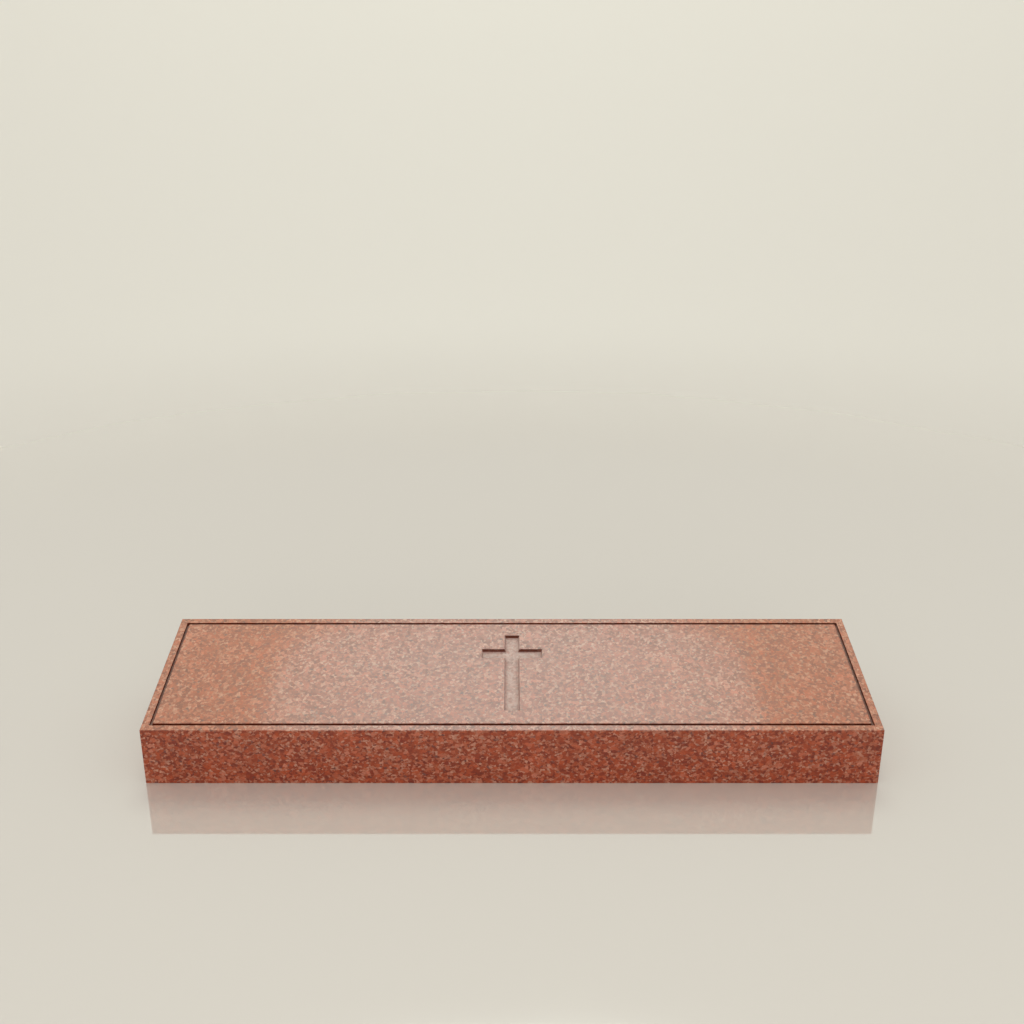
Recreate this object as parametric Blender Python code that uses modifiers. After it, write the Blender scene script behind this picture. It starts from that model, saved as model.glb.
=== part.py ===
"""Bevel grave marker: one block of polished red granite, with a top that slopes from a high back to a low front.
A narrow groove runs round the sloping face as a border, and a Latin cross is sunk in its middle.

Metres, +Z up. X runs along the stone, -Y is the low front, and the origin is the centre of the underside."""

import math

import bmesh
import bpy
from mathutils import Vector

# The block
WIDTH = 1.2192  # 48 in, end to end
DEPTH = 0.3048  # 12 in, front to back
BACK_HEIGHT = 0.1524  # 6 in
FRONT_HEIGHT = 0.1016  # 4 in
ARRIS = 0.0006  # how far each outer edge is eased
ARRIS_STEPS = 3

# The border groove, a square channel cut in the sloping face
GROOVE_INSET = 0.0127  # 1/2 in, from the face's edges to the groove
GROOVE_WIDTH = 0.0048  # 3/16 in
GROOVE_DEPTH = 0.0038

# The sunk cross. Its widths are those of its mouth, and its walls lean in towards its floor.
CROSS_MARGIN = 0.0508  # 2 in, from the face's front and back edges to the cross
CROSS_SPAN = 0.1079  # 4 1/4 in, over both arms
CROSS_HEAD = 0.0405  # from the top of the cross to its arms
UPRIGHT_WIDTH = 0.0264
ARM_WIDTH = 0.0254  # 1 in
CROSS_DEPTH = 0.0055
WALL_LEAN = 0.0024  # how much narrower the floor is on each side

# How far a cutter stands above the face, so that its own top lies clear of it
CUTTER_RISE = 0.002

# The sloping face
RISE = BACK_HEIGHT - FRONT_HEIGHT
SLOPE = math.atan2(RISE, DEPTH)
FACE_LENGTH = math.hypot(DEPTH, RISE)
FACE_MIDDLE_HEIGHT = (BACK_HEIGHT + FRONT_HEIGHT) / 2

STONE_COLOUR = (0.305, 0.098, 0.055, 1.0)
POLISHED_ROUGHNESS = 0.12


def new_collection(name):
    collection = bpy.data.collections.new(name)
    bpy.context.scene.collection.children.link(collection)
    return collection


def rectangle(length_x, length_y):
    """Corners of a rectangle centred on the origin, anticlockwise."""
    half_x = length_x / 2
    half_y = length_y / 2
    return [(-half_x, -half_y), (half_x, -half_y), (half_x, half_y), (-half_x, half_y)]


def extruded(name, outlines, thickness, location, rotation, collection):
    """A closed solid from flat outlines, as thick as stated along its own Z and centred on its location.
    An outline inside another one is a hole."""
    curve = bpy.data.curves.new(name, "CURVE")
    curve.dimensions = "2D"
    curve.fill_mode = "BOTH"
    curve.extrude = thickness / 2
    for outline in outlines:
        spline = curve.splines.new("POLY")
        spline.points.add(len(outline) - 1)
        for point, (x, y) in zip(spline.points, outline):
            point.co = (x, y, 0, 1)
        spline.use_cyclic_u = True
    drawn = bpy.data.objects.new(name + "_outline", curve)
    drawn.location = location
    drawn.rotation_euler = rotation
    collection.objects.link(drawn)
    bpy.context.view_layer.update()

    mesh = bpy.data.meshes.new_from_object(drawn.evaluated_get(bpy.context.evaluated_depsgraph_get()))
    mesh.name = name
    weld_caps(mesh)
    solid = bpy.data.objects.new(name, mesh)
    solid.matrix_world = drawn.matrix_world.copy()
    collection.objects.link(solid)
    bpy.data.objects.remove(drawn)
    return solid


def weld_caps(mesh):
    """Joins the caps of an extruded outline to its sides."""
    shape = bmesh.new()
    shape.from_mesh(mesh)
    bmesh.ops.remove_doubles(shape, verts=shape.verts, dist=1e-6)
    bmesh.ops.recalc_face_normals(shape, faces=shape.faces)
    shape.to_mesh(mesh)
    shape.free()


def leaning_bar(name, length_x, length_y, middle_y, collection):
    """A cutter for one bar of the cross. It has its stated size where it passes through the sloping face, and
    its walls lean in by WALL_LEAN on the way down to CROSS_DEPTH."""
    shape = bmesh.new()
    bmesh.ops.create_cube(shape, size=2)
    for corner in shape.verts:
        level = CUTTER_RISE if corner.co.z > 0 else -CROSS_DEPTH
        spread = WALL_LEAN * level / CROSS_DEPTH
        corner.co = Vector((
            corner.co.x * (length_x / 2 + spread),
            corner.co.y * (length_y / 2 + spread) + middle_y,
            level,
        ))
    mesh = bpy.data.meshes.new(name)
    shape.to_mesh(mesh)
    shape.free()
    bar = bpy.data.objects.new(name, mesh)
    bar.location = (0, 0, FACE_MIDDLE_HEIGHT)
    bar.rotation_euler = (SLOPE, 0, 0)
    collection.objects.link(bar)
    return bar


def make_groove_cutter(collection):
    """The ring that cuts the border groove, square to the sloping face."""
    outer_x = WIDTH - 2 * GROOVE_INSET
    outer_y = FACE_LENGTH - 2 * GROOVE_INSET
    ring = [rectangle(outer_x, outer_y), rectangle(outer_x - 2 * GROOVE_WIDTH, outer_y - 2 * GROOVE_WIDTH)]
    middle_level = (CUTTER_RISE - GROOVE_DEPTH) / 2
    out_of_face = Vector((0, -math.sin(SLOPE), math.cos(SLOPE)))
    location = Vector((0, 0, FACE_MIDDLE_HEIGHT)) + middle_level * out_of_face
    return extruded(
        "groove_cutter", ring, CUTTER_RISE + GROOVE_DEPTH, location, (SLOPE, 0, 0), collection
    )


def make_cross_cutter(collection):
    """The upright and the arms of the cross, joined to one cutter."""
    cross_length = FACE_LENGTH - 2 * CROSS_MARGIN
    arms_y = cross_length / 2 - CROSS_HEAD - ARM_WIDTH / 2
    upright = leaning_bar("cross_cutter", UPRIGHT_WIDTH, cross_length, 0, collection)
    arms = leaning_bar("cross_arms_cutter", CROSS_SPAN, ARM_WIDTH, arms_y, collection)
    join = upright.modifiers.new("arms", "BOOLEAN")
    join.operation = "UNION"
    join.solver = "EXACT"
    join.object = arms
    return upright


def make_block(collection):
    """The stone before it is carved: its end outline drawn once, run along its width, with eased edges."""
    end_outline = [(-DEPTH / 2, 0), (DEPTH / 2, 0), (DEPTH / 2, BACK_HEIGHT), (-DEPTH / 2, FRONT_HEIGHT)]
    # The outline's X becomes the stone's Y, its Y becomes Z, and its thickness runs along X.
    block = extruded(
        "granite_marker", [end_outline], WIDTH, (0, 0, 0), (math.pi / 2, 0, math.pi / 2), collection
    )
    easing = block.modifiers.new("eased_edges", "BEVEL")
    easing.width = ARRIS
    easing.segments = ARRIS_STEPS
    easing.limit_method = "ANGLE"
    easing.angle_limit = math.radians(30)
    return block


def carve(stone, cutter):
    """Cuts the cutter's shape out of the stone, and keeps the cutter out of sight."""
    cut = stone.modifiers.new(cutter.name, "BOOLEAN")
    cut.operation = "DIFFERENCE"
    cut.solver = "EXACT"
    cut.object = cutter


def polished_granite():
    material = bpy.data.materials.new("polished_red_granite")
    material.use_nodes = True
    shader = material.node_tree.nodes["Principled BSDF"]
    shader.inputs["Base Color"].default_value = STONE_COLOUR
    shader.inputs["Roughness"].default_value = POLISHED_ROUGHNESS
    shader.inputs["Metallic"].default_value = 0.0
    material.diffuse_color = STONE_COLOUR
    return material


def main():
    for old in list(bpy.data.objects):
        bpy.data.objects.remove(old)

    stones = new_collection("bevel_grave_marker")
    cutters = new_collection("cutters")

    marker = make_block(stones)
    marker.data.materials.append(polished_granite())
    carve(marker, make_groove_cutter(cutters))
    carve(marker, make_cross_cutter(cutters))

    for cutter in cutters.objects:
        cutter.hide_render = True
        cutter.display_type = "WIRE"


main()
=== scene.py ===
# %% [markdown]
# # A bevel grave marker of polished red granite
#
# The real stone is one sawn block, 48 by 12 inches, polished on every side that shows. Its top slopes
# from a 6 inch back to a 4 inch front, a narrow groove runs round it as a border, and a Latin cross is
# sunk in its middle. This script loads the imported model, which fixes every size, and then makes the
# surface that the eye sees.

import bmesh
import bpy
import numpy as np
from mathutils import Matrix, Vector


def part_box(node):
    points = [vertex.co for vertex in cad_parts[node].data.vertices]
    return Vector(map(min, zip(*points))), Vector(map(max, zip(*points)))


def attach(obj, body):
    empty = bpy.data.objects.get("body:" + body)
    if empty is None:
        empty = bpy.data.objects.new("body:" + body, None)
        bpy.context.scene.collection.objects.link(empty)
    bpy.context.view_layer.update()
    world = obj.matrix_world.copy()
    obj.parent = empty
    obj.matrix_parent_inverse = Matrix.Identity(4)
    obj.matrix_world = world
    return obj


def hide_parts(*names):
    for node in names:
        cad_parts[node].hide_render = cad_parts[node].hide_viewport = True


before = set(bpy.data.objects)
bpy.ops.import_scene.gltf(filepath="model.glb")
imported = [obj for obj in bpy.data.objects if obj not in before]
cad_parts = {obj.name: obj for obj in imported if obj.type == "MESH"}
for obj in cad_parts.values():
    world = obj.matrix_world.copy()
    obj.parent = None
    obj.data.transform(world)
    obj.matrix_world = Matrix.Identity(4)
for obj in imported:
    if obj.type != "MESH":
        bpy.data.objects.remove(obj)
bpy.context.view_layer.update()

# %% [markdown]
# ## The camera
#
# Four straight edges of a block of known size are enough to find a camera. Here they give an angle of
# view of 45 degrees, an eye 1.18 m above the ground and 1.90 m in front of the stone's middle, and a
# tilt of 21.7 degrees down. The block is centred left to right, so the camera looks straight along +Y.

# %% Place the camera
EYE = (0.0, -1.8988, 1.1808)
TILT_DOWN = np.radians(21.687)
ANGLE_OF_VIEW = np.radians(45.0)
FARTHEST_SEEN = 200.0


def make_camera():
    """An unturned camera looks straight down. A quarter turn about X levels it, less the tilt."""
    lens = bpy.data.cameras.new("camera")
    lens.sensor_width = 36.0
    lens.angle = ANGLE_OF_VIEW
    lens.clip_end = FARTHEST_SEEN
    camera = bpy.data.objects.new("camera", lens)
    camera.location = EYE
    camera.rotation_euler = (np.pi / 2 - TILT_DOWN, 0, 0)
    bpy.context.scene.collection.objects.link(camera)
    bpy.context.scene.camera = camera
    return camera


camera = make_camera()
print("camera lens", round(camera.data.lens, 2), "mm")

# %% [markdown]
# ## The sizes of the stone
#
# Width and depth are read from the frame. The two heights and the carving's sizes repeat those that the
# block was cut with, in metres. Only the lips, the feet and the groove's faint lean are finer than the
# model, and are given here. The outer edges are eased by little more than half a millimetre, as a mason
# rubs them down, and the carved ones by less.

# %% Read the block and state the carving
low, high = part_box("granite_marker")
WIDTH = high.x - low.x
DEPTH = high.y - low.y
FRONT_HEIGHT = 0.1016
BACK_HEIGHT = 0.1524
ARRIS = 0.0006

GROOVE_INSET = 0.0127
GROOVE_WIDTH = 0.0048
GROOVE_DEPTH = 0.0038
GROOVE_LEAN = 0.00012
GROOVE_LIP = 0.00025
GROOVE_FOOT = 0.0005

CROSS_MARGIN = 0.0508
CROSS_SPAN = 0.1079
CROSS_HEAD = 0.0405
UPRIGHT_WIDTH = 0.0264
ARM_WIDTH = 0.0254
CROSS_DEPTH = 0.0055
CROSS_LEAN = 0.0024
CROSS_LIP = 0.0003
CROSS_FOOT = 0.0012

SLOPE = np.arctan2(BACK_HEIGHT - FRONT_HEIGHT, DEPTH)
FACE_LENGTH = DEPTH / np.cos(SLOPE)
UP_THE_SLOPE = np.array([0.0, np.cos(SLOPE), np.sin(SLOPE)])
OUT_OF_FACE = np.array([0.0, -np.sin(SLOPE), np.cos(SLOPE)])
print("slope", round(float(np.degrees(SLOPE)), 2), "degrees")
print("face", round(FACE_LENGTH * 1000, 1), "mm up the slope")

# %% [markdown]
# ## How a carved edge runs
#
# A groove or a sunk panel is a line cut into a flat face. Seen in section it has three parts: a lip
# where the polish breaks off, a wall that leans in a little, and a rounded foot, because neither grit nor
# a worn blade leaves a sharp inner corner. One list of distances in from the line, and of levels below
# the face, describes all three.

# %% Give the section of a carved edge
QUARTER_TURN = np.linspace(0, np.pi / 2, 5)


def carved_edge(depth, lean, lip, foot):
    """Distances in from a carving's outline, and the level of the stone there.

    The lip is a quarter circle that leaves the flat face at minus lip and turns down to the wall. The
    wall leans in by lean over the whole depth. The foot is a quarter circle that turns from the wall into
    the floor."""
    wall_foot = lean * (depth - foot) / depth
    lip_distance = lip * (np.sin(QUARTER_TURN) - 1)
    foot_distance = wall_foot + foot * (1 - np.cos(QUARTER_TURN))
    lip_level = lip * (np.cos(QUARTER_TURN) - 1)
    foot_level = foot * (1 - np.sin(QUARTER_TURN)) - depth
    return np.concatenate([lip_distance, foot_distance]), np.concatenate([lip_level, foot_level])


groove_edge = carved_edge(GROOVE_DEPTH, GROOVE_LEAN, GROOVE_LIP, GROOVE_FOOT)
cross_edge = carved_edge(CROSS_DEPTH, CROSS_LEAN, CROSS_LIP, CROSS_FOOT)
print("groove edge", len(groove_edge[0]), "points, cross edge", len(cross_edge[0]), "points")

# %% [markdown]
# ## The grid of the sloping face
#
# The groove and the cross have only straight sides, along the stone or up the slope. So the whole face
# can be one grid whose lines bunch up at each carved edge, one line for each point of its section, with
# wide even spaces between. Every wall and lip is then exact, and no cut has to be made in the mesh
# afterwards.

# %% Lay out the grid lines
WIDE_SPACE = 0.012
FINE_SPACE = 0.0022


def lines_at(outlines):
    """The grid lines of all carved edges: each outline's place plus its section's distances inwards."""
    return np.concatenate([place + inward * edge[0] for place, inward, edge in outlines])


def with_even_spaces(lines, fine_from, fine_to):
    """The lines in order, and evenly spaced ones between any two far apart, closer in the fine stretch."""
    lines = np.unique(np.round(lines, 7))
    middle = (lines[1:] + lines[:-1]) / 2
    space = np.where((middle > fine_from) & (middle < fine_to), FINE_SPACE, WIDE_SPACE)
    count = np.ceil(np.diff(lines) / space).astype(int)
    runs = [np.linspace(a, b, n + 1)[:-1] for a, b, n in zip(lines[:-1], lines[1:], count)]
    return np.append(np.concatenate(runs), lines[-1])


core_x = WIDTH / 2 - ARRIS
core_y = DEPTH / 2 - ARRIS
core_up = core_y / np.cos(SLOPE)
groove_x = WIDTH / 2 - GROOVE_INSET
groove_up = FACE_LENGTH / 2 - GROOVE_INSET
cross_end = FACE_LENGTH / 2 - CROSS_MARGIN
arms_up = cross_end - CROSS_HEAD - ARM_WIDTH / 2

x_lines = with_even_spaces(
    np.concatenate([
        [-core_x, core_x],
        lines_at([(side * groove_x, -side, groove_edge) for side in (-1, 1)]),
        lines_at([(side * (groove_x - GROOVE_WIDTH), side, groove_edge) for side in (-1, 1)]),
        lines_at([(side * CROSS_SPAN / 2, -side, cross_edge) for side in (-1, 1)]),
        lines_at([(side * UPRIGHT_WIDTH / 2, -side, cross_edge) for side in (-1, 1)]),
    ]),
    -CROSS_SPAN / 2,
    CROSS_SPAN / 2,
)
up_lines = with_even_spaces(
    np.concatenate([
        [-core_up, core_up],
        lines_at([(side * groove_up, -side, groove_edge) for side in (-1, 1)]),
        lines_at([(side * (groove_up - GROOVE_WIDTH), side, groove_edge) for side in (-1, 1)]),
        lines_at([(side * cross_end, -side, cross_edge) for side in (-1, 1)]),
        lines_at([(arms_up + side * ARM_WIDTH / 2, -side, cross_edge) for side in (-1, 1)]),
    ]),
    -cross_end,
    cross_end,
)
print("grid", len(x_lines), "by", len(up_lines), "lines")

# %% [markdown]
# ## How far inside the carving a point lies
#
# For a bar, that is the smallest of the distances to its four sides. The cross is two bars, so the
# larger of their answers holds, and the groove is the inside of one rectangle that is also outside a
# smaller one.

# %% Measure in from the outlines


def inside_bar(x, up, half_x, half_up, middle_up=0.0):
    """How far a point lies inside a bar: its smallest distance to the bar's sides, negative outside."""
    return np.minimum(half_x - np.abs(x), half_up - np.abs(up - middle_up))


def inside_groove(x, up):
    """How far a point lies inside the groove: within its outer rectangle and without its inner one."""
    outer = inside_bar(x, up, groove_x, groove_up)
    inner = inside_bar(x, up, groove_x - GROOVE_WIDTH, groove_up - GROOVE_WIDTH)
    return np.minimum(outer, -inner)


def inside_cross(x, up):
    """How far a point lies inside the cross: the larger of its distances into the upright and the arms."""
    upright = inside_bar(x, up, UPRIGHT_WIDTH / 2, cross_end)
    arms = inside_bar(x, up, CROSS_SPAN / 2, ARM_WIDTH / 2, arms_up)
    return np.maximum(upright, arms)


def around_cross(x, up):
    """Whether a point lies in the plain rectangle that holds the whole cross and nothing of the groove."""
    return (np.abs(x) < CROSS_SPAN) & (np.abs(up) < cross_end + 2 * CROSS_LIP)


print("middle of the upright lies", round(float(inside_cross(0.0, 0.0)) * 1000, 1), "mm inside")

# %% [markdown]
# ## The level of the sloping face
#
# The section now turns distance into level. The floor of the cross keeps the shallow waves that a blast
# nozzle leaves as it passes back and forth.

# %% Work out the levels
WAVE_HEIGHT = 0.00014
WAVE_ALONG = 0.0085
WAVE_ACROSS = 0.0130
WANDER = 1.7
# The waves fade in over the lowest fifth of the cross's depth.
WAVES_PER_DEPTH = 5
WAVES_FROM = 0.8


def wave(x, up, length, along_x, along_up, start):
    """The sine of a full turn for each length, plus a start in radians. The way travelled is along_x times x
    plus along_up times the distance up the slope."""
    return np.sin(2 * np.pi * (along_x * x + along_up * up) / length + start)


def blast_waves(x, up):
    """A ripple that wanders from side to side, one that crosses it and a longer swell. Their shares add up
    to one, so the sum stays within plus and minus one."""
    sideways = wave(x, up, length=WAVE_ACROSS, along_x=1, along_up=0, start=0)
    ripple = wave(x, up, length=WAVE_ALONG, along_x=0, along_up=1, start=WANDER * sideways)
    crossing = wave(x, up, length=1.3 * WAVE_ALONG, along_x=1, along_up=0.35, start=0.8)
    swell = wave(x, up, length=4.1 * WAVE_ACROSS, along_x=0.4, along_up=-1, start=2.1)
    return 0.45 * ripple + 0.3 * crossing + 0.25 * swell


def face_level(x, up):
    """Level of the stone against the sloping plane: zero on the polish, minus the depth in the carving."""
    groove = np.interp(inside_groove(x, up), *groove_edge)
    cross = np.interp(inside_cross(x, up), *cross_edge)
    on_floor = np.clip(WAVES_PER_DEPTH * (-cross / CROSS_DEPTH - WAVES_FROM), 0, 1)
    return groove + cross + WAVE_HEIGHT * on_floor * blast_waves(x, up)


x_grid, up_grid = np.meshgrid(x_lines, up_lines, indexing="ij")
level = face_level(x_grid, up_grid)
face_points = (
    np.array([0.0, 0.0, (FRONT_HEIGHT + BACK_HEIGHT) / 2])
    + x_grid[..., None] * np.array([1.0, 0.0, 0.0])
    + up_grid[..., None] * UP_THE_SLOPE
    + level[..., None] * OUT_OF_FACE
)
print("deepest level", round(float(level.min()) * 1000, 2), "mm")

# %% [markdown]
# ## The sides, as one profile carried round the block
#
# The rest of the block is a skirt: a profile that leaves the sloping face, turns down over the eased
# edge, drops down the side and turns in under the stone. It is carried along the outline of the face,
# which swings through a quarter turn at each corner. Its upper end follows the slope and its lower end
# lies on the ground, so each point of the profile mixes the height of the slope there with a fixed
# height.

# %% Carry the side profile round the block
WALL_ROWS = 4


def slope_height(y):
    """Height of the sloping plane above the ground, in a straight line from the front to the back."""
    return FRONT_HEIGHT + (BACK_HEIGHT - FRONT_HEIGHT) * (y / DEPTH + 0.5)


def outline_path(x_places, y_places):
    """Points along the four straight sides, anticlockwise from above, with the way out of the block at each.
    The corner point is repeated while the way out swings round to the next side."""
    ends = [
        (x_places, np.full_like(x_places, -core_y), -90),
        (np.full_like(y_places, core_x), y_places, 0),
        (x_places[::-1], np.full_like(x_places, core_y), 90),
        (np.full_like(y_places, -core_x), y_places[::-1], 180),
    ]
    places = []
    ways_out = []
    for side_x, side_y, facing in ends:
        places.append(np.stack([side_x, side_y], axis=1))
        ways_out.append(np.full(len(side_x), np.radians(facing)))
        swing = QUARTER_TURN[1:-1]
        places.append(np.repeat(places[-1][-1:], len(swing), axis=0))
        ways_out.append(np.radians(facing) + swing)
    angle = np.concatenate(ways_out)
    return np.concatenate(places), np.stack([np.cos(angle), np.sin(angle)], axis=1)


def side_profile():
    """How far out each point of the profile stands, its share of the slope's height, and its fixed height."""
    fall = np.linspace(0, 1, WALL_ROWS + 1)[1:-1]
    out = ARRIS * np.concatenate([np.sin(QUARTER_TURN), np.ones_like(fall), np.cos(QUARTER_TURN)])
    share = np.concatenate([np.ones_like(QUARTER_TURN), 1 - fall, np.zeros_like(QUARTER_TURN)])
    fixed = ARRIS * np.concatenate([np.cos(QUARTER_TURN) - 1, 2 * fall - 1, 1 - np.sin(QUARTER_TURN)])
    return out, share, fixed


place, way_out = outline_path(x_lines, up_lines * np.cos(SLOPE))
out, share, fixed = side_profile()
ring_xy = place[:, None, :] + out[None, :, None] * way_out[:, None, :]
ring_z = share * slope_height(ring_xy[..., 1]) + fixed
skirt_points = np.concatenate([ring_xy, ring_z[..., None]], axis=2)
print("skirt", skirt_points.shape[0], "points round by", skirt_points.shape[1], "down")

# %% [markdown]
# ## The cells of the face
#
# A grid cell at a mitre, where two leaning walls meet, isn't flat. It is split along the diagonal whose
# ends differ most in level, which is the line where the walls meet. The wavy cells of the blasted floor
# are split by the same rule, and flat cells stay quads.

# %% Cut the grid into cells
FLAT_ENOUGH = 1e-7


def grid_cells(first, columns, rows, closed=False):
    """The four corner numbers of every cell of a grid of points that are numbered row after row."""
    number = first + np.arange(columns * rows).reshape(columns, rows)
    following = np.roll(number, -1, axis=0) if closed else number[1:]
    number = number if closed else number[:-1]
    corners = [number[:, :-1], following[:, :-1], following[:, 1:], number[:, 1:]]
    return np.stack(corners, axis=-1).reshape(-1, 4)


def face_cells():
    """The sloping face as quads, and as triangles where a cell isn't flat."""
    cells = grid_cells(0, len(x_lines), len(up_lines))
    corner = level.reshape(-1)[cells]
    bent = np.abs(corner[:, 0] + corner[:, 2] - corner[:, 1] - corner[:, 3]) > FLAT_ENOUGH
    first_diagonal = np.abs(corner[:, 0] - corner[:, 2]) >= np.abs(corner[:, 1] - corner[:, 3])
    along_first = cells[bent & first_diagonal]
    along_second = cells[bent & ~first_diagonal]
    halves = [along_first[:, [0, 1, 2]], along_first[:, [0, 2, 3]]]
    halves += [along_second[:, [0, 1, 3]], along_second[:, [1, 2, 3]]]
    return cells[~bent], np.concatenate(halves)


quads, triangles = face_cells()
print("face", len(quads), "quads and", len(triangles), "triangles")

# %% [markdown]
# ## Which finish goes where
#
# The slab is polished first and carved last, so the polish stops at each lip. From there down the
# groove is sawn and the cross is blasted. Flat polish is shaded flat and every rounded or blasted part
# smooth, so that reflections stay straight on the polish right up to the edge.

# %% Give each cell its finish
POLISHED, BLASTED, SAWN = 0, 1, 2


def finish_of(cells):
    """Polished on the flat, and from the lip down sawn in the groove and blasted in the cross. The second
    answer says which cells belong to the carving, whose lips and feet are round."""
    corner = level.reshape(-1)[cells]
    middle = (corner.min(axis=1) + corner.max(axis=1)) / 2
    in_cross = around_cross(x_grid.reshape(-1)[cells[:, 0]], up_grid.reshape(-1)[cells[:, 0]])
    carved = middle < -FLAT_ENOUGH
    return np.where(carved, np.where(in_cross, BLASTED, SAWN), POLISHED), carved


quad_finish, quad_round = finish_of(quads)
triangle_finish, triangle_round = finish_of(triangles)
print("carved cells", int(quad_round.sum() + triangle_round.sum()))

# %% [markdown]
# ## Where shade is painted
#
# Shade is painted into the colour of the carving: all through the groove from its lip down, on the walls of
# the cross, most on those that look down the slope, and a little on its floor close to the walls. Each point
# of the face gets a number for it, which the materials read as an attribute.

# %% Lay the painted shade
# From 0, unshaded, to 1, as darkly painted as the walls that look down the slope.
GROOVE_SHADE = 0.86
WALL_SHADE = 0.14
FLOOR_SHADE = 0.16
# Metres: how far the painted shade reaches over the cross's floor, and the step from the wall in which it
# starts.
FLOOR_SHADE_REACH = 0.007
FLOOR_SHADE_START = 1e-6
# The wall's painted shade ends at this share of the foot's height above the floor.
FOOT_LEFT_UNSHADED = 0.1
# Added to every steepness, so that no flat place divides by zero.
ALMOST_LEVEL = 1e-9


def painted_shade_on_face():
    """How much painted shade each point of the sloping face has, from 0 to 1. The groove has one value from
    its lip down. A wall of the cross has WALL_SHADE, plus the rest by the share of its steepness that climbs
    to the back, which is 1 where it looks down the slope. Its floor has FLOOR_SHADE at the wall, and none
    further out."""
    groove = np.interp(level, [-GROOVE_LIP, 0], [GROOVE_SHADE, 0])
    steep_x, steep_up = np.gradient(level, x_lines, up_lines)
    steepness = np.hypot(steep_x, steep_up) + ALMOST_LEVEL
    facing_down_slope = np.clip(steep_up / steepness, 0, 1)
    foot_top = -(CROSS_DEPTH - CROSS_FOOT)
    foot_end = -(CROSS_DEPTH - FOOT_LEFT_UNSHADED * CROSS_FOOT)
    wall = np.interp(level, [foot_end, foot_top, -CROSS_LIP, 0], [0, 1, 1, 0])
    from_wall = inside_cross(x_grid, up_grid) - CROSS_LEAN
    corner = np.interp(from_wall, [-FLOOR_SHADE_START, 0, FLOOR_SHADE_REACH], [0, FLOOR_SHADE, 0])
    cross = np.maximum(wall * (WALL_SHADE + (1 - WALL_SHADE) * facing_down_slope), corner)
    return np.where(around_cross(x_grid, up_grid), cross, groove)


face_painted_shade = painted_shade_on_face()
print("dust from", round(float(face_painted_shade.min()), 2), "to", round(float(face_painted_shade.max()), 2))

# %% [markdown]
# ## One closed mesh
#
# The skirt starts on the border points of the face, so merging doubles welds the two. The underside is
# one flat face on the skirt's last row, and closes the stone.

# %% Weld the stone
WELD_DISTANCE = 1e-6


def weld_stone():
    """The cells of the face and of the skirt, and one flat face for the underside, on one list of points."""
    round_points, rows = skirt_points.shape[:2]
    skirt_first = face_points.size // 3
    skirt = grid_cells(skirt_first, round_points, rows, closed=True)[:, [0, 3, 2, 1]]
    underside = skirt_first + np.arange(round_points)[::-1] * rows + rows - 1
    row_of_cell = np.tile(np.arange(rows - 1), round_points)
    eased = (row_of_cell < len(QUARTER_TURN) - 1) | (row_of_cell >= rows - len(QUARTER_TURN))
    finishes = np.concatenate([quad_finish, triangle_finish, np.full(len(skirt), POLISHED), [SAWN]])
    rounded = np.concatenate([quad_round, triangle_round, eased, [False]])

    mesh = bpy.data.meshes.new("polished_stone")
    points = np.concatenate([face_points.reshape(-1, 3), skirt_points.reshape(-1, 3)])
    faces = quads.tolist() + triangles.tolist() + skirt.tolist() + [underside.tolist()]
    mesh.from_pydata(points.tolist(), [], faces)
    mesh.polygons.foreach_set("material_index", finishes.astype(np.int32))
    mesh.polygons.foreach_set("use_smooth", rounded)
    # The painted shade of each point of the face, carried as an attribute; the skirt and underside get none.
    painted_shade = np.zeros(len(points), dtype=np.float32)
    painted_shade[:level.size] = face_painted_shade.reshape(-1)
    mesh.attributes.new("painted_shade", "FLOAT", "POINT").data.foreach_set("value", painted_shade)

    shape = bmesh.new()
    shape.from_mesh(mesh)
    bmesh.ops.remove_doubles(shape, verts=shape.verts, dist=WELD_DISTANCE)
    open_edges = sum(not edge.is_manifold for edge in shape.edges)
    volume = shape.calc_volume(signed=True)
    shape.to_mesh(mesh)
    shape.free()
    print("stone", len(mesh.polygons), "faces,", open_edges, "open edges,", round(volume * 1e6, 1), "cm3")
    piece = bpy.data.objects.new("polished_stone", mesh)
    bpy.context.scene.collection.objects.link(piece)
    return piece


polished_stone = weld_stone()

# %% [markdown]
# ## Colours and nodes
#
# Colours are written as they look on a screen, in hex, and turned to linear light once. One helper adds
# a node with its settings and links. Everything in a material is then a short list of such calls.
#
# Three kinds of node come up again and again, and their sockets go by number. Map Range takes a value, its
# range (0 to 1 if left out) and the range that it is moved to, on sockets 0 to 4, and holds it at the
# ends. A colour Mix takes its share on 0 and its colours on 6 and 7, and gives its answer on output 2. A
# Separate Color gives red, green and blue, and here they are often three dice rolls instead.

# %% Make the helpers


def linear(hex_colour):
    """A screen colour as linear light: a straight stretch near black, and a power of 2.4 above it."""
    screen = np.array([int(hex_colour[i:i + 2], 16) for i in (1, 3, 5)]) / 255
    light = np.where(screen <= 0.04045, screen / 12.92, ((screen + 0.055) / 1.055) ** 2.4)
    return (*light.tolist(), 1.0)


def add(tree, kind, inputs=None, **settings):
    """Adds a node. Settings are its own properties. Inputs are its sockets by name or number, each given
    a value or another node's output socket, which is linked. Steps are a colour ramp's places and hex
    colours."""
    node = tree.nodes.new(kind)
    steps = settings.pop("steps", [])
    for name, value in settings.items():
        setattr(node, name, value)
    for socket, value in (inputs or {}).items():
        if isinstance(value, bpy.types.NodeSocket):
            tree.links.new(value, node.inputs[socket])
        else:
            node.inputs[socket].default_value = value
    for number, (place, hex_colour) in enumerate(steps):
        element = node.color_ramp.elements[number] if number < 2 else node.color_ramp.elements.new(place)
        element.position = place
        element.color = linear(hex_colour)
    return node


def new_material(name):
    """A material with an empty node tree but for its shader, and the two of them."""
    material = bpy.data.materials.new(name)
    material.use_nodes = True
    return material, material.node_tree, material.node_tree.nodes["Principled BSDF"]


print("brick red in linear light", [round(c, 3) for c in linear("#a8452c")[:3]])

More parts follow.
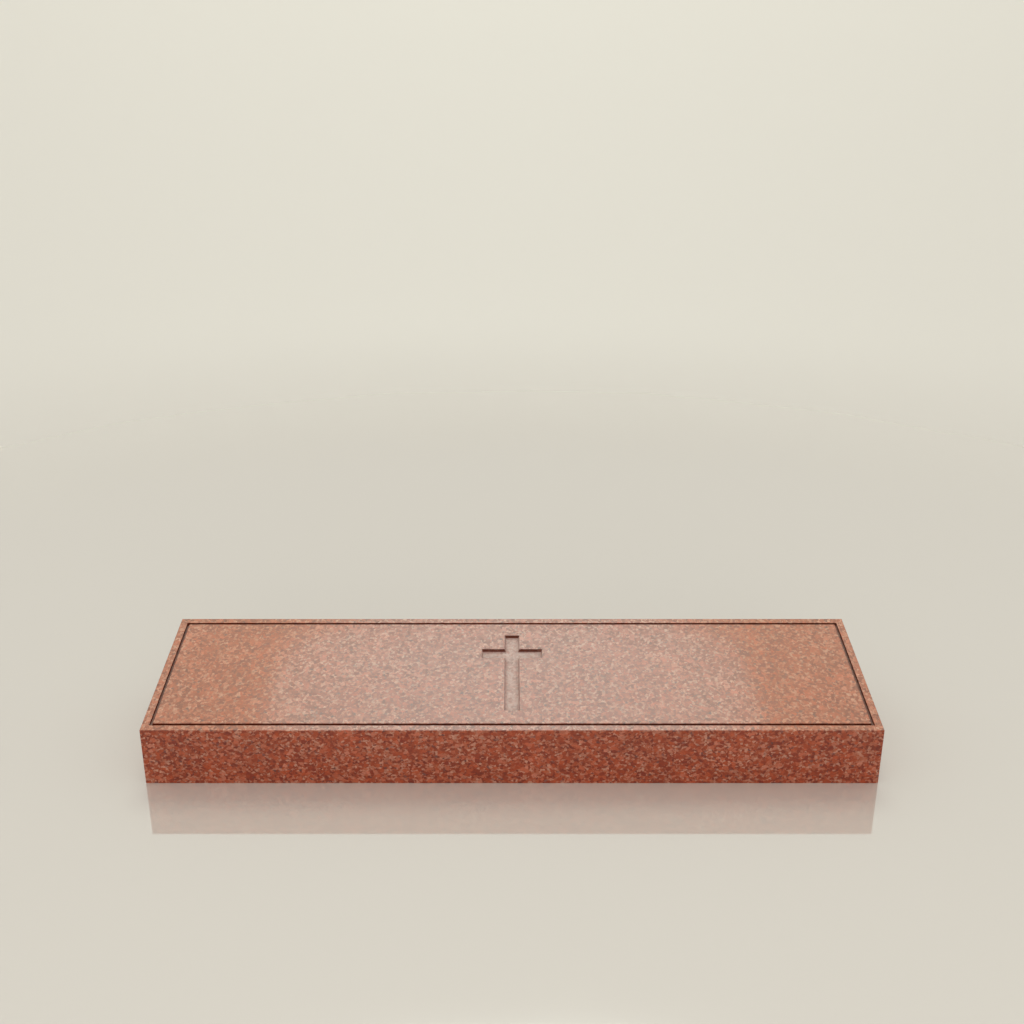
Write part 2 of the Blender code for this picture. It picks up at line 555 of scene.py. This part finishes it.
# %% [markdown]
# ## Red granite
#
# Granite is a tight mosaic of crystals a few millimetres across. A Voronoi pattern in three dimensions
# is such a mosaic: each cell is one crystal, cut through by whatever surface it meets, so the grain runs
# unbroken round every edge and down into the carving. A little noise bends the borders, because no
# crystal in granite is a clean polygon. A coarse mosaic and a fine one are made, to be mixed below.
#
# Crystals in granite often lie a little flattened, from the slow flow of the melt. Here they are about a
# quarter longer across the block than they are high.

# %% Grow the crystals
# Metres. Feldspar in red granite runs from 2 to 8 mm.
LARGE_CRYSTAL = 0.0053
SMALL_CRYSTAL = 0.0033
BORDER_BEND = 0.0019
BEND_LENGTH = 0.0032
FLATTENING = (1.22, 1.32, 1.0)


def grow_mosaics(tree, where):
    """Three dice rolls from 0 to 1 for each large crystal, and three for each small one. The place is divided
    by the flattening, and moved by the bend times a noise that runs from minus one to one."""
    flattened = add(tree, "ShaderNodeVectorMath", {0: where, 1: FLATTENING}, operation="DIVIDE").outputs[0]
    bend = add(tree, "ShaderNodeTexNoise", {"Vector": flattened, "Scale": 1 / BEND_LENGTH, "Detail": 2.0})
    bend_both_ways = {0: bend.outputs["Color"], 1: (0.5,) * 3}
    centred = add(tree, "ShaderNodeVectorMath", bend_both_ways, operation="SUBTRACT").outputs[0]
    bend_by_size = {0: centred, 1: (2 * BORDER_BEND,) * 3, 2: flattened}
    bent = add(tree, "ShaderNodeVectorMath", bend_by_size, operation="MULTIPLY_ADD").outputs[0]
    rolls = []
    for crystal in (LARGE_CRYSTAL, SMALL_CRYSTAL):
        mosaic = add(tree, "ShaderNodeTexVoronoi", {"Vector": bent, "Scale": 1 / crystal})
        rolls.append(add(tree, "ShaderNodeSeparateColor", {0: mosaic.outputs["Color"]}).outputs)
    return rolls


print("crystals of", round(LARGE_CRYSTAL * 1000, 1), "and", round(SMALL_CRYSTAL * 1000, 1), "mm")

# %% [markdown]
# ## The minerals' colours
#
# Here nearly all crystals are potassium feldspar, from deep brick red to pale salmon, with a few flakes
# of dark mica. A crystal's dice roll picks its colour on a ramp: the ramp's places are shares of the
# stone, so a colour between 0.2 and 0.4 covers a fifth of it. A second roll keeps about a quarter of the
# large crystals, and the fine mosaic fills the rest.

# %% Colour the minerals
LARGE_SHARE = 0.24
LARGE_MINERALS = [
    (0.00, "#78240c"),
    (0.30, "#903612"),
    (0.60, "#a0421f"),
    (0.85, "#aa5438"),
    (1.00, "#b06a54"),
]
SMALL_MINERALS = [
    (0.00, "#6d200c"),
    (0.20, "#802e12"),
    (0.42, "#943c1c"),
    (0.60, "#9e4d30"),
    (0.74, "#a35d46"),
    (0.86, "#ac6f5a"),
    (0.96, "#b4806c"),
    (0.975, "#784239"),
    (1.00, "#5c312b"),
]


def colour_minerals(tree, large_dice, small_dice):
    """The colour of the mineral at each place, and whether a small crystal lies there."""
    large_colour = add(tree, "ShaderNodeValToRGB", {0: large_dice[0]}, steps=LARGE_MINERALS).outputs[0]
    small_colour = add(tree, "ShaderNodeValToRGB", {0: small_dice[0]}, steps=SMALL_MINERALS).outputs[0]
    outside_large = {0: large_dice[1], 1: LARGE_SHARE}
    is_small = add(tree, "ShaderNodeMath", outside_large, operation="GREATER_THAN").outputs[0]
    of_either_size = {0: is_small, 6: large_colour, 7: small_colour}
    mineral = add(tree, "ShaderNodeMix", of_either_size, data_type="RGBA").outputs[2]
    return mineral, is_small


print("minerals", len(LARGE_MINERALS), "colours for large crystals,", len(SMALL_MINERALS), "for small")

# %% [markdown]
# ## Light and dark within the stone
#
# No two crystals of a kind are equally bright, each is streaky inside, and the block is a little cloudy.
# Three patterns of three lengths give that, and their brightnesses are multiplied.

# %% Shade the crystals
# Metres. The streaks are really a few tenths of a millimetre wide, and are coarsened to show from here.
STREAK_LENGTH = 0.0016
STREAK_SHAPE = (2.2, 2.2, 1.0)
CLOUD_LENGTH = 0.06
# The darkest and brightest of each. Nearly all values of a noise lie in the noise range.
BY_CRYSTAL = (0.94, 1.06)
BY_STREAK = (0.79, 1.21)
BY_CLOUD = (0.93, 1.07)
NOISE_RANGE = (0.3, 0.7)


def shade_crystals(tree, where, mineral, crystal_dice):
    """The mineral's colour times the brightness of its crystal, of its streak and of the cloud it lies in."""
    drawn_out = add(tree, "ShaderNodeVectorMath", {0: where, 1: STREAK_SHAPE}, operation="DIVIDE").outputs[0]
    thin = {"Vector": drawn_out, "Scale": 1 / STREAK_LENGTH, "Detail": 2.0}
    wide = {"Vector": where, "Scale": 1 / CLOUD_LENGTH, "Detail": 3.0}
    streaks = add(tree, "ShaderNodeTexNoise", thin)
    clouds = add(tree, "ShaderNodeTexNoise", wide)
    patterns = [
        (crystal_dice, (0.0, 1.0), BY_CRYSTAL),
        (streaks.outputs[0], NOISE_RANGE, BY_STREAK),
        (clouds.outputs[0], NOISE_RANGE, BY_CLOUD),
    ]
    brightness = 1.0
    for pattern, (lowest, highest), (darkest, brightest) in patterns:
        ranges = {0: pattern, 1: lowest, 2: highest, 3: darkest, 4: brightest}
        factor = add(tree, "ShaderNodeMapRange", ranges).outputs[0]
        both = {0: brightness, 1: factor}
        brightness = add(tree, "ShaderNodeMath", both, operation="MULTIPLY").outputs[0]
    return add(tree, "ShaderNodeHueSaturation", {"Value": brightness, "Color": mineral}).outputs[0]


print("brightness within", round(BY_CRYSTAL[0] * BY_STREAK[0] * BY_CLOUD[0], 2), "and",
      round(BY_CRYSTAL[1] * BY_STREAK[1] * BY_CLOUD[1], 2))

# %% [markdown]
# ## The granite under every finish
#
# All three finishes are cut in the same crystals, so they start from the same five facts. Mica is the
# dark end of the small crystals' ramp. How dull a crystal polishes goes by how dark it is.

# %% Gather what every finish needs
MICA_FROM = 0.98
# A crystal this dark in red polishes dullest, and one this bright takes the full polish.
DULL_RED, BRIGHT_RED = 0.09, 0.33


def red_granite(tree):
    """Five sockets to build a finish on: the place in the stone, the crystal's colour, a number from 0 to 1
    that is the crystal's own, whether it is mica, and how dull it polishes."""
    where = add(tree, "ShaderNodeTexCoord").outputs["Object"]
    large_dice, small_dice = grow_mosaics(tree, where)
    mineral, is_small = colour_minerals(tree, large_dice, small_dice)
    colour = shade_crystals(tree, where, mineral, small_dice[2])
    top_of_ramp = {0: small_dice[0], 1: MICA_FROM}
    dark = add(tree, "ShaderNodeMath", top_of_ramp, operation="GREATER_THAN").outputs[0]
    mica = add(tree, "ShaderNodeMath", {0: dark, 1: is_small}, operation="MULTIPLY").outputs[0]
    red = add(tree, "ShaderNodeSeparateColor", {0: colour}).outputs[0]
    from_dull_to_bright = {0: red, 1: DULL_RED, 2: BRIGHT_RED, 3: 1.0, 4: 0.0}
    dullness = add(tree, "ShaderNodeMapRange", from_dull_to_bright).outputs[0]
    return where, colour, small_dice[1], mica, dullness


print("mica", round(100 * (1 - MICA_FROM)), "per cent of the small crystals")

# %% [markdown]
# ## Polished granite
#
# Polished granite shows its crystals deep and saturated, with mirror reflections over them. The pale
# feldspar takes the highest polish. The darker grains are softer, mica most of all: they stay duller,
# and the mica some microns low. The index is feldspar's own, 1.54, and a good polish has a roughness
# well under 0.1.

# %% Polish the stone
GRANITE_IOR = 1.54
BEST_POLISH = (0.045, 0.085)
MOST_DULL = 0.17
# Metres, and how much of that depth the bump shows.
MICA_BELOW = 0.00001
MICA_SHOWN = 0.2


def polished_granite():
    """Roughness from 0.05 on pale feldspar to 0.25 on mica, which also sits slightly lower."""
    material, tree, shader = new_material("polished_red_granite")
    where, colour, _, mica, dullness = red_granite(tree)
    wear = add(tree, "ShaderNodeTexNoise", {"Vector": where, "Scale": 1 / CLOUD_LENGTH, "Detail": 4.0})
    by_wear = {0: wear.outputs[0], 1: NOISE_RANGE[0], 2: NOISE_RANGE[1]}
    by_wear |= {3: BEST_POLISH[0], 4: BEST_POLISH[1]}
    gloss = add(tree, "ShaderNodeMapRange", by_wear).outputs[0]
    duller = {0: dullness, 1: MOST_DULL, 2: gloss}
    roughness = add(tree, "ShaderNodeMath", duller, operation="MULTIPLY_ADD").outputs[0]
    height = add(tree, "ShaderNodeMath", {0: 1.0, 1: mica}, operation="SUBTRACT").outputs[0]
    relief = {"Strength": MICA_SHOWN, "Distance": MICA_BELOW, "Height": height}
    bump = add(tree, "ShaderNodeBump", relief).outputs[0]
    tree.links.new(colour, shader.inputs["Base Color"])
    tree.links.new(roughness, shader.inputs["Roughness"])
    tree.links.new(bump, shader.inputs["Normal"])
    shader.inputs["IOR"].default_value = GRANITE_IOR
    return material


finishes = {POLISHED: polished_granite()}
print("finish", finishes[POLISHED].name)

# %% [markdown]
# ## Blasted and sawn granite
#
# A sawn or blasted surface is the same stone with its crystals bruised: it scatters light at the
# surface, so it looks paler and greyer, and the gloss goes. Blasting leaves a roughness of about a half.
# Its grit leaves pits of about a millimetre, and a saw leaves lines about two millimetres apart. Where
# shade is painted, a dark brown film hides the bruising.

# %% Blast the cross and saw the groove
GRIT_SIZE = 0.0011
SAW_LINE = 0.0021
EVEN_PITS = (1.0, 1.0, 1.0)
ALONG_THE_SAW = (0.08, GRIT_SIZE / SAW_LINE, 1.0)
# How much of the pits' depth the bump shows, and how far mica lies below the rest, as a share of it.
PITS_SHOWN = 0.6
MICA_PITTED = -0.4

BRUISED = "#dfcfcb"
# Each crystal's own share of the bruising, against the finish's.
LEAST_BRUISED, MOST_BRUISED = 0.7, 1.3
# Crushed crystals mirror a little less than whole ones, whose level is 0.5.
LEVEL_OF_CRUSHED = 0.42
# Painted shade: a dark brown, and how much of it covers the colour where the shade number is 1.
SHADE_COLOUR = "#40190b"
SHADE_STRENGTH = 0.76


def rough_granite(name, bruise, smoothest, roughest, relief, pattern_stretch):
    """The crystals mixed with their bruised colour, each by its own share, and darkened by the painted shade.
    The grit gives dull gloss and relief, and its grains may be drawn out to lines."""
    material, tree, shader = new_material(name)
    where, colour, dice, mica, _ = red_granite(tree)
    stretched = add(tree, "ShaderNodeMapping", {"Vector": where, "Scale": pattern_stretch}).outputs[0]
    grains = {"Vector": stretched, "Scale": 1 / GRIT_SIZE, "Detail": 3.0}
    grit = add(tree, "ShaderNodeTexNoise", grains).outputs[0]
    # The painted shade laid on the face, 1 where the most shade is painted.
    painted_shade = add(tree, "ShaderNodeAttribute", attribute_name="painted_shade").outputs["Fac"]
    unshaded = add(tree, "ShaderNodeMath", {0: 1.0, 1: painted_shade}, operation="SUBTRACT").outputs[0]
    by_dice = {0: dice, 3: LEAST_BRUISED * bruise, 4: MOST_BRUISED * bruise}
    own_share = add(tree, "ShaderNodeMapRange", by_dice).outputs[0]
    share = add(tree, "ShaderNodeMath", {0: own_share, 1: unshaded}, operation="MULTIPLY").outputs[0]
    with_bruise = {0: share, 6: colour, 7: linear(BRUISED)}
    paler = add(tree, "ShaderNodeMix", with_bruise, data_type="RGBA").outputs[2]
    shade_share = add(tree, "ShaderNodeMath", {0: painted_shade, 1: SHADE_STRENGTH}, operation="MULTIPLY").outputs[0]
    with_painted_shade = {0: shade_share, 6: paler, 7: linear(SHADE_COLOUR)}
    shade_painted = add(tree, "ShaderNodeMix", with_painted_shade, data_type="RGBA").outputs[2]
    roughness = add(tree, "ShaderNodeMapRange", {0: grit, 3: smoothest, 4: roughest}).outputs[0]
    mica_lower = {0: mica, 1: MICA_PITTED, 2: grit}
    pitted = add(tree, "ShaderNodeMath", mica_lower, operation="MULTIPLY_ADD").outputs[0]
    pits = {"Strength": PITS_SHOWN, "Distance": relief, "Height": pitted}
    bump = add(tree, "ShaderNodeBump", pits).outputs[0]
    tree.links.new(shade_painted, shader.inputs["Base Color"])
    tree.links.new(roughness, shader.inputs["Roughness"])
    tree.links.new(bump, shader.inputs["Normal"])
    shader.inputs["IOR"].default_value = GRANITE_IOR
    shader.inputs["Specular IOR Level"].default_value = LEVEL_OF_CRUSHED
    return material


blasted = {"bruise": 0.67, "smoothest": 0.45, "roughest": 0.65, "relief": 0.00035}
sawn = {"bruise": 0.03, "smoothest": 0.30, "roughest": 0.50, "relief": 0.00015}
finishes[BLASTED] = rough_granite("blasted_red_granite", pattern_stretch=EVEN_PITS, **blasted)
finishes[SAWN] = rough_granite("sawn_red_granite", pattern_stretch=ALONG_THE_SAW, **sawn)
for number in sorted(finishes):
    polished_stone.data.materials.append(finishes[number])
print("finishes", [material.name for material in polished_stone.data.materials])

# %% [markdown]
# ## The floor
#
# The stone lies in a white studio cove: a glossy flat floor that turns matt a few metres out and rises
# all round in a wide, low curve, so no corner and no horizon shows behind the stone. A glossy lacquered
# floor has an index of about 1.5. This one is given 3.8, which no lacquer has, because it makes the
# floor's image of the stone as strong as it should be here.

# %% Lay the floor
# Metres. The stone's middle is the middle of the floor.
INNER_RINGS = [1.0, 2.5]
COVE_FLAT = 4.0
COVE_CURVE = (26.0, 9.0)
COVE_RINGS = 49
COVE_TURNS = 96
FLOOR_BELOW = 0.0001

FLOOR_COLOUR = "#ebe8e3"
FLOOR_IOR = 3.8
FLOOR_MOTTLE = 0.33
FLOOR_GLOSS = (0.03, 0.07)
MATT = 0.6
MATT_FROM, MATT_TO = 0.8, 4.0


def cove_mesh():
    """A profile carried round the vertical axis: a flat stretch, then a quarter of a wide, low ellipse."""
    bend = np.linspace(0, np.pi / 2, COVE_RINGS)
    wide, high = COVE_CURVE
    radius = np.concatenate([INNER_RINGS, COVE_FLAT + wide * np.sin(bend)])
    height = np.concatenate([np.zeros(len(INNER_RINGS)), high * (1 - np.cos(bend))]) - FLOOR_BELOW
    turn = np.linspace(0, 2 * np.pi, COVE_TURNS, endpoint=False)
    rings = np.stack([
        np.outer(radius, np.cos(turn)),
        np.outer(radius, np.sin(turn)),
        np.repeat(height[:, None], len(turn), axis=1),
    ], axis=-1)
    ring, step = np.meshgrid(np.arange(len(radius) - 1), np.arange(len(turn)), indexing="ij")
    here = ring * len(turn) + step
    beside = ring * len(turn) + (step + 1) % len(turn)
    cells = np.stack([here, here + len(turn), beside + len(turn), beside], axis=-1).reshape(-1, 4)
    mesh = bpy.data.meshes.new("floor")
    mesh.from_pydata(rings.reshape(-1, 3).tolist(), [], cells.tolist() + [list(range(len(turn)))])
    mesh.polygons.foreach_set("use_smooth", np.ones(len(mesh.polygons), dtype=bool))
    return mesh


def pale_floor():
    """Roughness is the mottled gloss near the stone, and eases to matt as the distance from it grows."""
    material, tree, shader = new_material("pale_floor")
    where = add(tree, "ShaderNodeTexCoord").outputs["Object"]
    mottle = add(tree, "ShaderNodeTexNoise", {"Vector": where, "Scale": 1 / FLOOR_MOTTLE, "Detail": 4.0})
    from_mottle = {0: mottle.outputs[0], 3: FLOOR_GLOSS[0], 4: FLOOR_GLOSS[1]}
    gloss = add(tree, "ShaderNodeMapRange", from_mottle).outputs[0]
    away = add(tree, "ShaderNodeVectorMath", {0: where}, operation="LENGTH").outputs["Value"]
    matt_away = {0: away, 1: MATT_FROM, 2: MATT_TO, 3: gloss, 4: MATT}
    eased = {"interpolation_type": "SMOOTHSTEP"}
    roughness = add(tree, "ShaderNodeMapRange", matt_away, **eased).outputs[0]
    tree.links.new(roughness, shader.inputs["Roughness"])
    shader.inputs["Base Color"].default_value = linear(FLOOR_COLOUR)
    shader.inputs["IOR"].default_value = FLOOR_IOR
    return material


floor = bpy.data.objects.new("floor", cove_mesh())
bpy.context.scene.collection.objects.link(floor)
floor.data.materials.append(pale_floor())
print("cove", len(floor.data.polygons), "faces,", 2 * (COVE_FLAT + COVE_CURVE[0]), "m across")

# %% [markdown]
# ## The softbox
#
# High and far behind the stone hangs a large softbox whose four edges bow outwards. The slope mirrors its
# lower half as a pale veil with two corners. A softbox that can be seen in a polish is made as a mesh
# that shines, because then its outline can be drawn.

# %% Hang the softbox
# Metres: half its width and height at the corners, and how far its sides and its ends bow.
SOFTBOX_CORNER = (11.4, 9.36)
SOFTBOX_BOW = (1.59, 1.75)
SOFTBOX_STEPS = 32
SOFTBOX_DISTANCE = 60.0
SOFTBOX_ELEVATION = np.radians(55.8)
SOFTBOX_BRIGHTNESS = 4.74
SOFTBOX_MIDDLE = "#f7fff2"
SOFTBOX_RIM = "#f3ecd7"


def towards_back(elevation, distance):
    """A place straight behind the stone, so far away and so high above the horizon as seen from it."""
    return distance * np.array([0.0, np.cos(elevation), np.sin(elevation)])


def softbox_mesh():
    """The sides bow out by their bow times 1 - s squared, where s runs from -1 to 1 along them, and the
    upper and lower edges by 1 - s to the fourth."""
    s = np.linspace(-1, 1, SOFTBOX_STEPS + 1)[:-1]
    bow = 1 - s ** 2
    corner_x, corner_y = SOFTBOX_CORNER
    side_bow, end_bow = SOFTBOX_BOW
    below = np.stack([corner_x * s, -corner_y - end_bow * (1 - s ** 4)], axis=1)
    right = np.stack([corner_x + side_bow * bow, corner_y * s], axis=1)
    outline = np.concatenate([below, right, -below, -right])
    along_x = np.array([1.0, 0.0, 0.0])
    up_panel = np.array([0.0, -np.sin(SOFTBOX_ELEVATION), np.cos(SOFTBOX_ELEVATION)])
    middle = towards_back(SOFTBOX_ELEVATION, SOFTBOX_DISTANCE)
    points = middle + outline[:, :1] * along_x + outline[:, 1:] * up_panel
    mesh = bpy.data.meshes.new("softbox")
    mesh.from_pydata(points.tolist(), [], [list(range(len(points)))])
    return mesh


def lit_diffuser():
    """A black panel that shines. Its light turns warmer with the square of the distance across."""
    material, tree, shader = new_material("lit_diffuser")
    shader.inputs["Base Color"].default_value = linear("#000000")
    shader.inputs["Emission Strength"].default_value = SOFTBOX_BRIGHTNESS
    where = add(tree, "ShaderNodeTexCoord").outputs["Object"]
    across = add(tree, "ShaderNodeSeparateXYZ", {0: where}).outputs[0]
    squared = add(tree, "ShaderNodeMath", {0: across, 1: across}, operation="MULTIPLY").outputs[0]
    to_the_rim = {0: squared, 2: (SOFTBOX_CORNER[0] + SOFTBOX_BOW[0]) ** 2}
    towards_rim = add(tree, "ShaderNodeMapRange", to_the_rim).outputs[0]
    from_middle = {0: towards_rim, 6: linear(SOFTBOX_MIDDLE), 7: linear(SOFTBOX_RIM)}
    colour = add(tree, "ShaderNodeMix", from_middle, data_type="RGBA").outputs[2]
    tree.links.new(colour, shader.inputs["Emission Color"])
    return material


softbox = bpy.data.objects.new("softbox", softbox_mesh())
bpy.context.scene.collection.objects.link(softbox)
softbox.data.materials.append(lit_diffuser())
softbox.visible_camera = False
print("softbox corners at", SOFTBOX_CORNER, "m, seen from", SOFTBOX_DISTANCE, "m")

# %% [markdown]
# ## The room and two panels
#
# The room itself is evenly bright, which is what makes the light soft. A dimmer, warmer scrim behind the
# softbox is what the ends of the slope mirror, and it lights nothing but the stone. A panel behind the
# camera fills the front face, and is left out of every mirror image.

# %% Light the room
ROOM_COLOUR = "#fdf8ee"
ROOM_BRIGHTNESS = 0.66

SCRIM_SIZE = (44.0, 13.0)
SCRIM_DISTANCE = 62.0
SCRIM_ELEVATION = np.radians(49)
SCRIM_BRIGHTNESS = 2.75
SCRIM_COLOUR = "#ffe3be"

FILL_SIZE = (3.0, 1.2)
FILL_PLACE = (0.0, -3.4, 0.8)
FILL_BRIGHTNESS = 2.75
FILL_COLOUR = "#fff6ec"


def light_panel(name, size, place, brightness, hex_colour, lit=None, mirrored=True):
    """A rectangular panel that faces the stone. Its power is its brightness times pi times its area. Where
    a collection is named, the panel lights nothing else, and one that isn't mirrored shows in no gloss."""
    light = bpy.data.lights.new(name, "AREA")
    light.shape = "RECTANGLE"
    light.size, light.size_y = size
    light.energy = brightness * np.pi * size[0] * size[1]
    light.color = linear(hex_colour)[:3]
    panel = bpy.data.objects.new(name, light)
    panel.location = place
    panel.rotation_euler = (-Vector(place)).to_track_quat("-Z", "Y").to_euler()
    panel.visible_camera = False
    panel.visible_glossy = mirrored
    panel.light_linking.receiver_collection = lit
    bpy.context.scene.collection.objects.link(panel)


def light_room():
    """The same brightness from every side that no floor or panel covers."""
    world = bpy.data.worlds.new("white_room")
    world.use_nodes = True
    background = world.node_tree.nodes["Background"]
    background.inputs["Color"].default_value = linear(ROOM_COLOUR)
    background.inputs["Strength"].default_value = ROOM_BRIGHTNESS
    bpy.context.scene.world = world


stone_only = bpy.data.collections.new("stone_only")
stone_only.objects.link(polished_stone)
scrim_place = towards_back(SCRIM_ELEVATION, SCRIM_DISTANCE)
light_room()
light_panel("back_scrim", SCRIM_SIZE, scrim_place, SCRIM_BRIGHTNESS, SCRIM_COLOUR, stone_only)
light_panel("front_fill", FILL_SIZE, FILL_PLACE, FILL_BRIGHTNESS, FILL_COLOUR, mirrored=False)
bpy.context.scene.view_settings.view_transform = "Standard"
print("room", ROOM_BRIGHTNESS, "bright, scrim and fill", SCRIM_BRIGHTNESS, "and", FILL_BRIGHTNESS)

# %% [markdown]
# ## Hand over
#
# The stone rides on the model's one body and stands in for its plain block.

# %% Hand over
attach(polished_stone, "root")
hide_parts("granite_marker")
